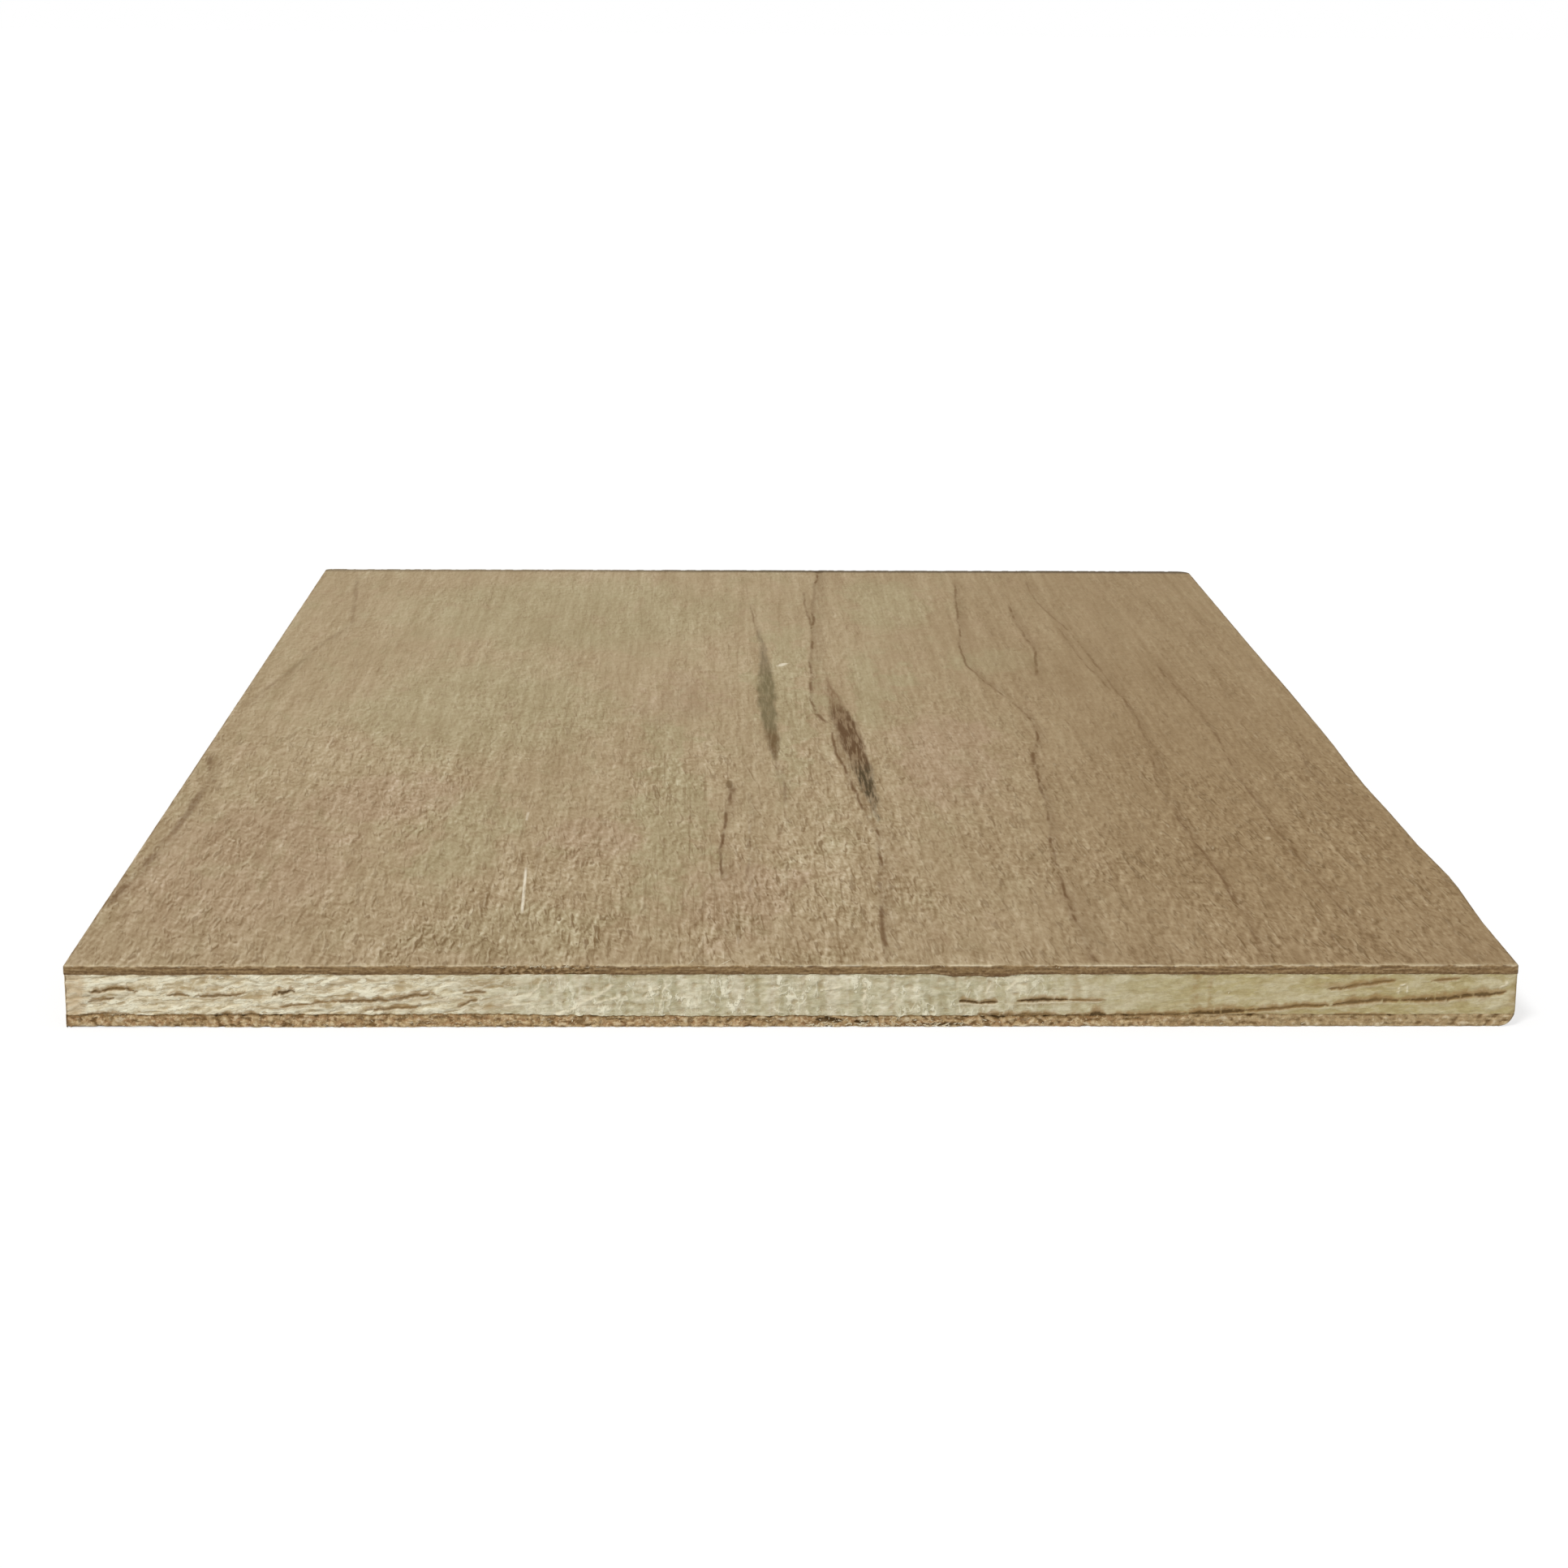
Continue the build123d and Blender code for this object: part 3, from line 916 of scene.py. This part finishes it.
def cherry_ground(shades, shifted):
    """The face's colour without its figure: browner to the right, with faint green and pink casts."""
    blend, climb, times, x, y = shades.blend, shades.climb, shades.times, shades.x, shades.y
    to_right = times(climb(x, -2.0, 38.0), climb(y, 76.0, -50.0, 0.66, 1.0))
    colour = blend((172, 151, 117), (149, 124, 88), to_right)
    olive, pink = patches(shades, shifted, olive_patches), patches(shades, shifted, pink_patches)
    colour = blend(colour, (168, 154, 117), olive, climb(to_right, 0.9, 0.2), 0.60)
    colour = blend(colour, (170, 143, 115), pink, 0.45)
    small = shades.grain((2.6, 8.0, 2.6), 4.0, 0.65, None, 0.4)
    colour = blend(colour, (170, 157, 120), climb(small, 0.50, 0.70, 0.0, 0.35), climb(to_right, 1.0, 0.0))
    colour = blend(colour, (167, 140, 110), climb(small, 0.46, 0.28, 0.0, 0.35), climb(to_right, 1.0, 0.3))
    near_front = times(climb(y, -50.0, -72.0), climb(x, -8.0, -24.0, 0.5, 1.0))
    colour = blend(colour, (158, 134, 101), near_front, 0.4)
    colour = shades.mottled(colour, shades.grain((16.0, 26.0, 16.0), 3.0, 0.55), 0.12)
    return shades.mottled(colour, shades.grain((0.9, 30.0, 0.9), 3.0, 0.62), 0.30)


def cherry_fibres(shades, colour, shifted):
    """Fibres, dashes with a painted highlight beside each, and specks, strongest in the near half and round
    one rough place.
    """
    blend, calc, climb, grain, times = shades.blend, shades.calc, shades.climb, shades.grain, shades.times
    x, y = shades.x, shades.y
    stronger = climb(grain((7.0, 16.0, 7.0), 2.0), 0.36, 0.64, 0.75, 1.2)
    stronger = times(stronger, climb(y, 40.0, -70.0, 0.46, 1.18), climb(x, 0.0, 16.0, 1.12, 0.95))
    stronger = calc("ADD", stronger, times(patches(shades, shifted, rough_patches), 0.35))
    tone, fine = fibre_tone(shades, 0.50, 2.6, 1.05)
    colour = shades.toned(colour, calc("MULTIPLY_ADD", calc("SUBTRACT", tone, 1.0), stronger, 1.0))
    dash_place = shades.turned(-3.0)
    beside_dash = shades.vector("ADD", dash_place, (0.14, -0.35, 0.0))
    dashes, rims = (
        climb(grain((0.36, 2.3, 0.36), 1.0, 0.5, place, 0.9), 0.57, 0.70)
        for place in (dash_place, beside_dash)
    )
    dash_colour = blend((112, 84, 44), (98, 71, 28), climb(x, 4.0, 24.0))
    # A painted highlight beside each dark dash
    colour = blend(colour, (202, 184, 152), rims, stronger, climb(x, 4.0, 24.0, 0.26, 0.12))
    colour = blend(colour, dash_colour, dashes, stronger, 0.40)
    pores = climb(grain((0.26, 11.0, 0.26), 2.0, 0.5), 0.58, 0.70)
    pores = times(pores, climb(x, -30.0, -18.0), climb(x, 22.0, 6.0))
    colour = blend(colour, (120, 93, 54), pores, stronger, 0.34)
    specks = climb(grain((0.5, 2.2, 0.5), 1.0), 0.66, 0.80)
    colour = blend(colour, (204, 186, 154), specks, stronger, 0.34)
    return colour, calc("ADD", fine, times(dashes, -0.6))


def cherry_marks(shades, colour):
    """Growth lines, two gum marks, a scratch and small nicks."""
    blend, climb, times, y = shades.blend, shades.climb, shades.times, shades.y
    line_colour = blend((102, 70, 28), (96, 62, 20), climb(y, 10.0, -25.0))
    colour = blend(colour, line_colour, growth_line_shade(shades))
    colour = blend(colour, (98, 70, 26), patches(shades, shades.place, dark_spots), 0.62)
    strands = shades.grain((0.26, 4.0, 0.26), 3.0, 0.65)
    wander = shades.drift(0.9, (0.9, 3.6, 0.9), 2.5)
    grey = times(between(shades, grey_mark, 0.30, wander), climb(strands, 0.30, 0.62, 0.60, 1.0))
    tint = blend((106, 93, 58), (96, 68, 26), climb(y, -3.0, -9.0))
    tint = blend(tint, (122, 105, 76), climb(y, 17.0, 26.0))
    colour = blend(colour, tint, grey, 0.88)
    dark = times(between(shades, dark_mark, 0.30, wander), climb(strands, 0.34, 0.58, 0.66, 1.0))
    tint = blend((122, 92, 58), (92, 62, 26), climb(y, 8.0, 0.0))
    tint = blend(tint, (66, 50, 14), climb(y, -15.0, -22.0))
    tint = blend(tint, (140, 114, 82), climb(strands, 0.54, 0.40, 0.0, 0.50))
    colour = blend(colour, tint, dark, climb(y, 12.0, -2.0, 0.70, 0.95))
    for from_x, to_x, from_y, to_y, half_width, shown in scratches:
        centre = shades.add("MapRange", None, (y, from_y, to_y, from_x, to_x))[0]
        half_length = abs(to_y - from_y) / 2
        mark = times(
            climb(shades.apart(shades.x, centre), 1.6 * half_width, 0.3 * half_width),
            climb(shades.apart(y, (from_y + to_y) / 2), half_length, 0.7 * half_length),
            climb(strands, 0.30, 0.55, 0.25, 1.0),
        )
        colour = blend(colour, (238, 228, 205), mark, shown)
    return colour


def painted_relief_shade(shades, colour, pale, dark, pale_share, dark_share):
    """Painted highlight on ridges and painted shade with dust in hollows, then the pale fibres, then the
    cracks in brown and painted shade.
    """
    blend, climb = shades.blend, shades.climb
    proud, crack = shades.layer("proud"), shades.layer("crack")
    colour = blend(colour, pale, climb(proud, 0.0, 0.9), pale_share)
    colour = blend(colour, dark, climb(proud, 0.0, -0.9), dark_share)
    colour = blend(colour, (228, 218, 190), shades.layer("pale_fibre_and_highlight"), 0.82)
    crack_colour = blend((110, 81, 36), (72, 50, 14), climb(crack, 0.70, 0.95))
    return blend(colour, crack_colour, crack, 0.88)


def cherry_edges(shades, colour):
    """Sawn edges: brown end grain at the front and back, paler long grain at the sides, and the rims."""
    blend, climb, grain, times = shades.blend, shades.climb, shades.grain, shades.times
    off_the_face = climb(shades.faces_z, 0.80, 0.50)
    end_colour = blend((137, 111, 74), (119, 94, 61), shades.layer("stain"))
    end_colour = shades.mottled(end_colour, grain((0.35, 0.3, 0.16), 3.0, 0.65), 0.75)
    near_glue = climb(shades.z, face_bottom + 0.20, face_bottom + 0.04)
    end_colour = blend(end_colour, (88, 62, 36), near_glue, 0.55)
    colour = blend(colour, end_colour, off_the_face, climb(shades.faces_x, 0.75, 0.65))
    side_colour = shades.mottled((144, 118, 84), grain((0.3, 3.0, 0.14), 3.0), 0.6)
    colour = blend(colour, side_colour, off_the_face, climb(shades.faces_x, 0.65, 0.75), 0.85)
    # Painted highlight on ridges, painted shade in hollows, pits and cracks
    colour = painted_relief_shade(shades, colour, (178, 154, 118), (78, 54, 32), 0.40, 0.55)
    # The rims of the face: pale and fuzzy at the front, darker along the back
    fuzz = times(
        climb(shades.calc("SUBTRACT", shades.y, front), 0.8, 0.2),
        climb(grain((1.3, 0.8, 1.0), 3.0, 0.7), 0.38, 0.60),
        climb(shades.faces_z, 0.5, 0.8),
    )
    colour = blend(colour, (206, 190, 154), fuzz, 0.36)
    far_rim = climb(shades.calc("SUBTRACT", far, shades.y), 2.2, 0.8)
    return blend(colour, (62, 50, 34), far_rim, climb(shades.x, -30.0, 5.0, 0.55, 1.0), 0.75)


def cherry_material():
    shades = Shades("cherry veneer")
    jog = shades.drift(18.0, (5.0, 10.0, 5.0), 4.0, 0.65)
    shifted = shades.vector("ADD", shades.place, shades.add("CombineXYZ", None, (jog, jog, 0.0))[0])
    colour = cherry_ground(shades, shifted)
    colour, height = cherry_fibres(shades, colour, shifted)
    colour = cherry_edges(shades, cherry_marks(shades, colour))
    return shades.surface(colour, 0.78, height, 0.02, 0.25)


def core_material():
    shades = Shades("core ply")
    blend, calc, climb, grain, times = shades.blend, shades.calc, shades.climb, shades.grain, shades.times
    mottled, x = shades.mottled, shades.x
    level = calc("SUBTRACT", shades.z, times(x, grain_climb))
    bent = calc("ADD", level, shades.drift(0.7, (1.6, 1.0, 0.8), 3.0))
    along = shades.add("CombineXYZ", None, (x, shades.y, bent))[0]
    streaks = grain((4.5, 0.5, 0.36), 3.0, 0.6, along)
    strands = grain((0.8, 0.2, 0.13), 3.0, 0.65, along)
    blots = grain((2.2, 2.2, 0.9), 3.0, 0.6, along)
    lumps = grain((0.45, 0.3, 0.34), 3.0, 0.6)
    bands = grain((1.3, 1.3, 30.0), 3.0, 0.6)
    at_left = climb(x, -14.0, -26.0)
    at_right = climb(x, 10.0, 26.0)
    middle = times(climb(x, -24.0, -14.0), climb(x, 24.0, 12.0))
    # Cream with tan hollows to the left, greyer in the middle, yellow to the right
    colour = blend((220, 208, 177), (186, 177, 145), climb(x, -30.0, -16.0))
    colour = blend(colour, (173, 158, 113), climb(x, 8.0, 34.0))
    pale_blots = climb(blots, 0.42, 0.66, 0.0, 0.80)
    colour = blend(colour, (222, 214, 188), pale_blots, climb(at_right, 0.0, 1.0, 1.0, 0.35))
    colour = blend(colour, (162, 138, 100), climb(streaks, 0.52, 0.32), climb(x, -4.0, -24.0, 0.12, 0.75))
    colour = blend(colour, (168, 161, 128), climb(bands, 0.46, 0.62), middle, 0.60)
    colour = blend(colour, (208, 198, 174), climb(bands, 0.46, 0.34), middle, 0.55)
    colour = mottled(mottled(colour, strands, 0.18), lumps, 0.34)
    # Flakes to the left, pale with a painted highlight and with painted shade in the tan hollows under them,
    # and small pale chips where the saw cut across
    flakes = grain((1.4, 0.4, 0.40), 3.0, 0.62, along)
    flaky = calc("MAXIMUM", at_left, 0.15)
    chip_field = grain((0.55, 0.5, 0.95), 3.0, 0.62)
    chipped = climb(grain((1.4, 1.0, 2.4), 2.0), 0.40, 0.56)
    chipped = times(chipped, calc("MAXIMUM", middle, times(at_left, 0.4)))
    hooks = climb(shades.apart(grain((0.8, 0.6, 1.2), 1.0, 0.5), 0.57), 0.05, 0.0)
    chips = times(climb(chip_field, 0.55, 0.60), chipped)
    raised = calc("MAXIMUM", times(climb(flakes, 0.52, 0.58), flaky), chips)
    raised = calc("MAXIMUM", raised, times(hooks, chipped, 0.7))
    colour = blend(colour, (162, 140, 98), climb(flakes, 0.43, 0.37), flaky, 0.58)
    colour = blend(colour, (158, 146, 114), climb(chip_field, 0.48, 0.42), chipped, 0.36)
    colour = blend(colour, (234, 228, 203), raised, 0.78)
    # The left end is browner, where the saw rubbed, and upright stains cross the right half
    tan_end = climb(calc("ADD", x, times(streaks, 1.2)), left + 2.3, left + 1.7)
    colour = blend(colour, (196, 173, 138), tan_end, 0.70)
    wavy_x = calc("ADD", x, shades.drift(0.5, (2.0, 2.0, 0.8)))
    for stain_x, half_width, strength in upright_stains:
        stained = climb(shades.apart(wavy_x, stain_x), 1.6 * half_width, 0.2 * half_width)
        colour = blend(colour, (150, 122, 76), stained, climb(lumps, 0.35, 0.6), strength)
    # Brown smudges, and brown with painted shade round the cracks
    colour = blend(colour, (150, 118, 74), shades.layer("stain"), 0.75)
    # End grain on the left and right edges, browned by the saw
    side = times(climb(shades.faces_x, 0.55, 0.8), climb(shades.faces_z, 0.8, 0.6))
    side_colour = blend((188, 166, 130), (168, 142, 104), climb(grain((3.0, 7.0, 1.2), 3.0, 0.6), 0.35, 0.65))
    side_colour = mottled(side_colour, grain((0.16, 0.24, 0.16), 2.0, 0.6), 0.55)
    colour = blend(colour, side_colour, side, 0.85)
    # Painted highlight on ridges, painted shade in hollows and cracks
    colour = painted_relief_shade(shades, colour, (226, 218, 192), (146, 120, 78), 0.40, 0.45)
    height = calc("ADD", times(strands, 0.6), times(lumps, 0.5))
    return shades.surface(colour, 0.85, calc("ADD", height, times(raised, 0.5)), 0.09, 0.8)


def back_material():
    shades = Shades("back veneer")
    blend, calc, climb, grain, times = shades.blend, shades.calc, shades.climb, shades.grain, shades.times
    clouds = grain((12.0, 30.0, 12.0), 3.0, 0.55)
    colour = blend((150, 124, 90), (166, 142, 106), climb(clouds, 0.38, 0.62))
    streaks = grain((2.2, 45.0, 2.2), 4.0, 0.6)
    colour = blend(colour, (118, 90, 58), climb(streaks, 0.55, 0.70, 0.0, 0.5))
    tone, fine = fibre_tone(shades, 0.45, 3.6, 1.8)
    colour = shades.toned(colour, tone)
    colour = blend(colour, (84, 62, 38), climb(grain((0.34, 3.4, 0.34), 1.0), 0.60, 0.70), 0.5)
    # Torn end grain at the front and back, a mix of red-brown and tan, greyer to the right
    speckle = grain((0.28, 0.3, 0.24), 3.0, 0.7)
    dark_flecks = climb(grain((0.50, 0.4, 0.34), 4.0, 0.75), 0.51, 0.61)
    end_colour = blend((162, 128, 90), (172, 146, 105), shades.layer("stain"))
    end_colour = shades.mottled(end_colour, speckle, 0.6)
    end_colour = blend(end_colour, (205, 184, 146), climb(speckle, 0.52, 0.60), 0.80)
    end_colour = blend(end_colour, (88, 62, 26), dark_flecks, 0.66)
    end_colour = blend(end_colour, (164, 144, 107), climb(shades.x, 16.0, 36.0), 0.55)
    colour = blend(colour, end_colour, climb(shades.faces_z, 0.85, 0.55), climb(shades.faces_x, 0.80, 0.70))
    # Painted highlight on ridges and raised lumps, painted shade in hollows and pits
    colour = painted_relief_shade(shades, colour, (202, 178, 138), (90, 64, 32), 0.55, 0.62)
    return shades.surface(colour, 0.85, calc("ADD", fine, times(speckle, 0.8)), 0.08, 0.8)


# The stage: a pale floor and world that look white to the camera, a soft sun, and the camera

floor_reach = 6000.0


def make_floor():
    """A pale floor that keeps the object's shadow. Only what the camera sees of it is lit up to white."""
    reach = floor_reach / METRE
    mesh = bpy.data.meshes.new("floor")
    corners = [(-reach, -reach, 0), (reach, -reach, 0), (reach, reach, 0), (-reach, reach, 0)]
    mesh.from_pydata(corners, [], [(0, 1, 2, 3)])
    floor = bpy.data.objects.new("floor", mesh)
    bpy.context.scene.collection.objects.link(floor)
    material = bpy.data.materials.new("pale floor")
    nodes = Nodes(material)
    path = nodes.add("LightPath")
    seen = nodes.calc("MAXIMUM", path["Is Camera Ray"], path["Is Glossy Ray"])
    seen = nodes.calc("MAXIMUM", seen, path["Is Transmission Ray"])
    plain = nodes.add("BsdfDiffuse", Color=(0.80, 0.80, 0.80, 1))
    shadowed = nodes.add("BsdfDiffuse", Color=(0.30, 0.30, 0.30, 1))
    glow = nodes.add("Emission", Strength=0.72)
    white = nodes.add("AddShader", None, (shadowed[0], glow[0]))
    mix = nodes.add("MixShader", None, (seen, plain[0], white[0]))
    nodes.add("OutputMaterial", None, (mix[0],))
    mesh.materials.append(material)


def make_world(strength):
    """Even light from all round, behind which the camera sees white."""
    world = bpy.data.worlds.new("studio")
    bpy.context.scene.world = world
    nodes = Nodes(world)
    path = nodes.add("LightPath")
    soft = nodes.add("Background", Color=(1, 1, 1, 1), Strength=strength)
    white = nodes.add("Background", Color=(1, 1, 1, 1), Strength=1.0)
    mix = nodes.add("MixShader", None, (path["Is Camera Ray"], soft[0], white[0]))
    nodes.add("OutputWorld", None, (mix[0],))


def make_sun(share, width, towards):
    """A broad soft sun that lights a level surface by this share of full white."""
    light = bpy.data.lights.new("sun", "SUN")
    light.angle = radians(width)
    slope = Vector(towards).normalized()
    light.energy = share * pi / -slope.z
    sun = bpy.data.objects.new("sun", light)
    sun.rotation_euler = slope.to_track_quat("-Z", "Y").to_euler()
    bpy.context.scene.collection.objects.link(sun)


# The camera, in millimetres and degrees
camera_place = (-6.50, -279.71, 69.52)
camera_pitch, camera_yaw, camera_roll = 14.326, 1.526, -0.431
camera_lens = 70.607


def make_camera():
    pitch, yaw, roll = (radians(angle) for angle in (camera_pitch, camera_yaw, camera_roll))
    ahead = Vector((sin(yaw) * cos(pitch), cos(yaw) * cos(pitch), -sin(pitch)))
    level = Vector((cos(yaw), -sin(yaw), 0))
    down = ahead.cross(level)
    across = cos(roll) * level + sin(roll) * down
    up = sin(roll) * level - cos(roll) * down
    data = bpy.data.cameras.new("camera")
    data.lens = camera_lens
    data.sensor_width = 36
    data.clip_start = 0.01
    camera = bpy.data.objects.new("camera", data)
    turn = Matrix((across, up, -ahead)).transposed()
    camera.matrix_world = Matrix.Translation(Vector(camera_place) / METRE) @ turn.to_4x4()
    bpy.context.scene.collection.objects.link(camera)
    bpy.context.scene.camera = camera


make_camera()
make_face(cherry_material())
make_core(core_material())
make_back(back_material())
make_floor()
make_world(0.50)
make_sun(0.50, 14.0, (0.45, 0.62, -1.0))
bpy.context.scene.view_settings.view_transform = "Standard"
